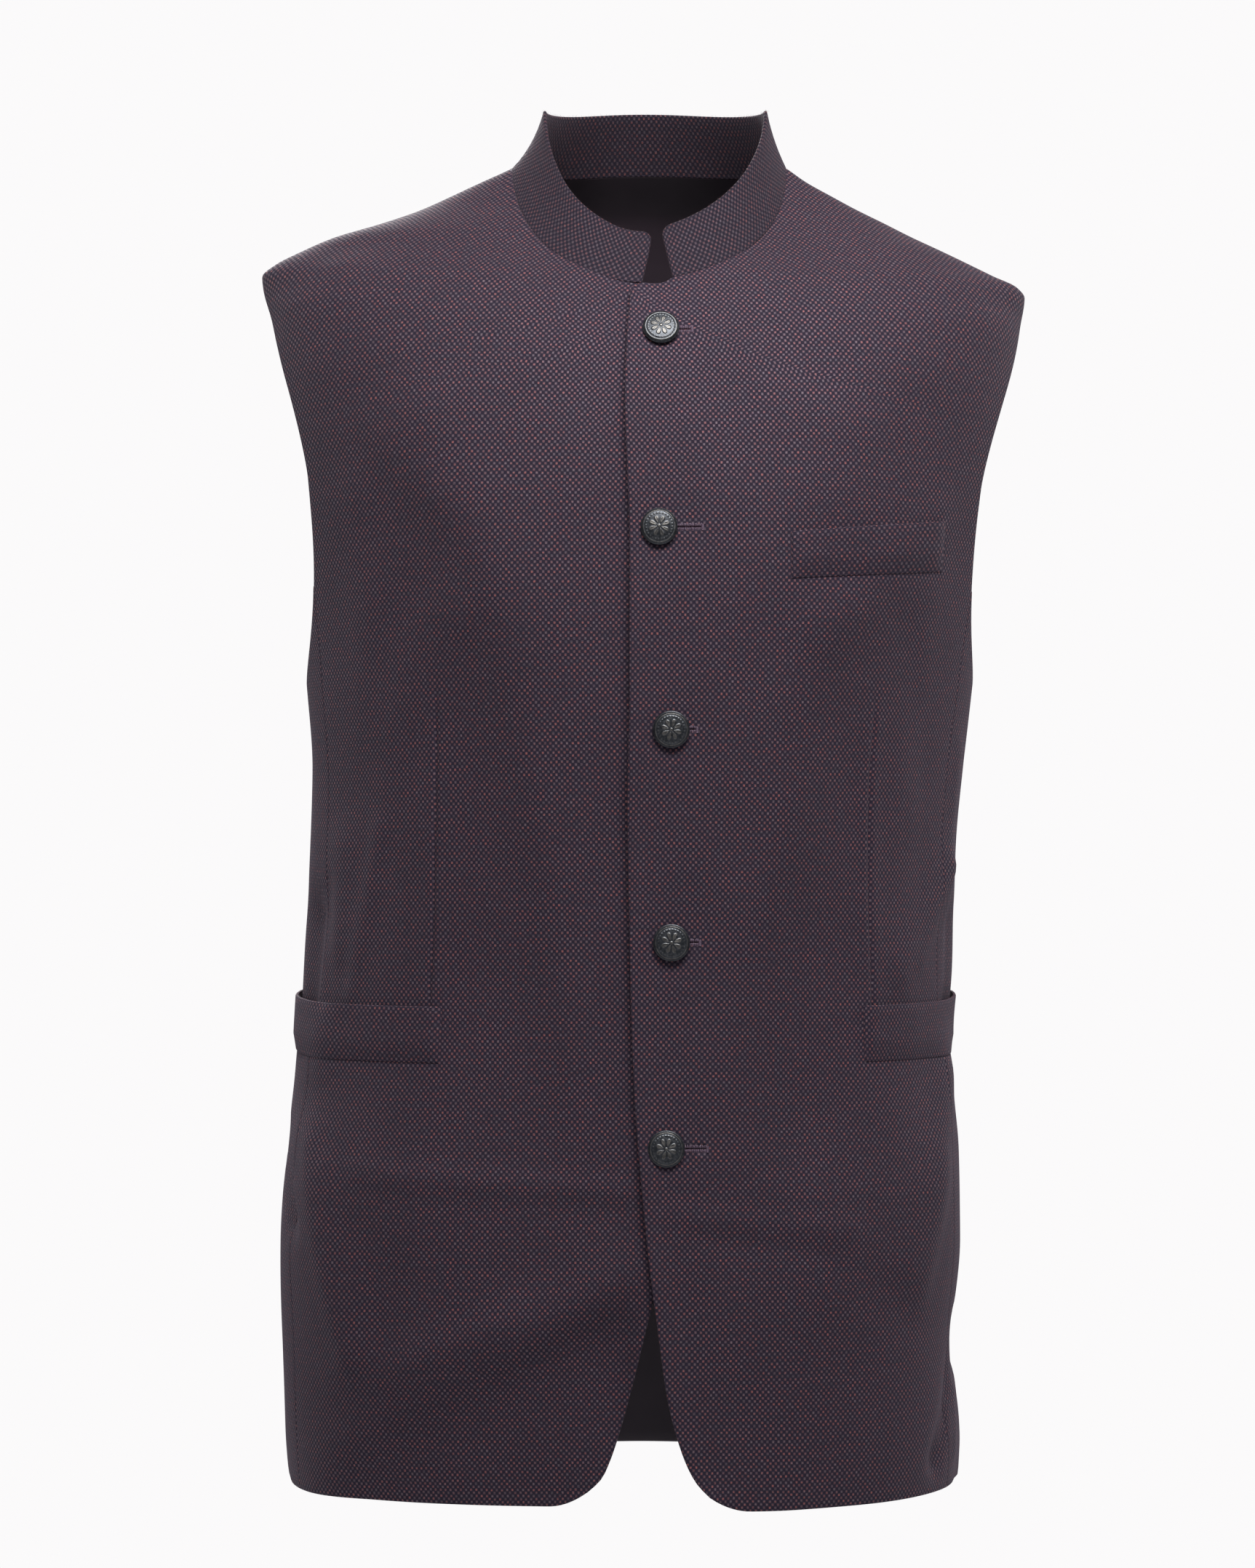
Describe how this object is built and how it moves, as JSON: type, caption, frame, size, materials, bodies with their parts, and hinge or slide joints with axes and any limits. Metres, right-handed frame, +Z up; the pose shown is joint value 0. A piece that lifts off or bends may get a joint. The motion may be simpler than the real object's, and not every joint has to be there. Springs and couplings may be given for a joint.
{
  "type": "nehru jacket",
  "caption": "Sleeveless nehru jacket in its worn, hollow form: stand collar, lapped front closed with shank buttons, breast welt, hip welts and rounded front corners.",
  "frame": {"origin": "midway between the neck ends of the two shoulder seams, where the wearer's shoulders carry the jacket", "axes": "+Z up, -Y out of the front of the jacket, +X to the wearer's left"},
  "size_m": [0.4323, 0.2624, 0.7823],
  "materials": {
    "plum_birdseye_wool": "matte birdseye wool",
    "plum_birdseye_wool_welt": "matte birdseye wool",
    "dark_button_metal": "dark plated, satin"
  },
  "bodies": {
    "root": {"front_left": "plum_birdseye_wool", "front_right": "plum_birdseye_wool", "side_left": "plum_birdseye_wool", "side_right": "plum_birdseye_wool", "back": "plum_birdseye_wool", "collar": "plum_birdseye_wool", "breast_welt": "plum_birdseye_wool_welt", "hip_welt_left": "plum_birdseye_wool_welt", "hip_welt_right": "plum_birdseye_wool_welt", "button_1": "dark_button_metal", "button_2": "dark_button_metal", "button_3": "dark_button_metal", "button_4": "dark_button_metal", "button_5": "dark_button_metal"}
  },
  "joints": []
}
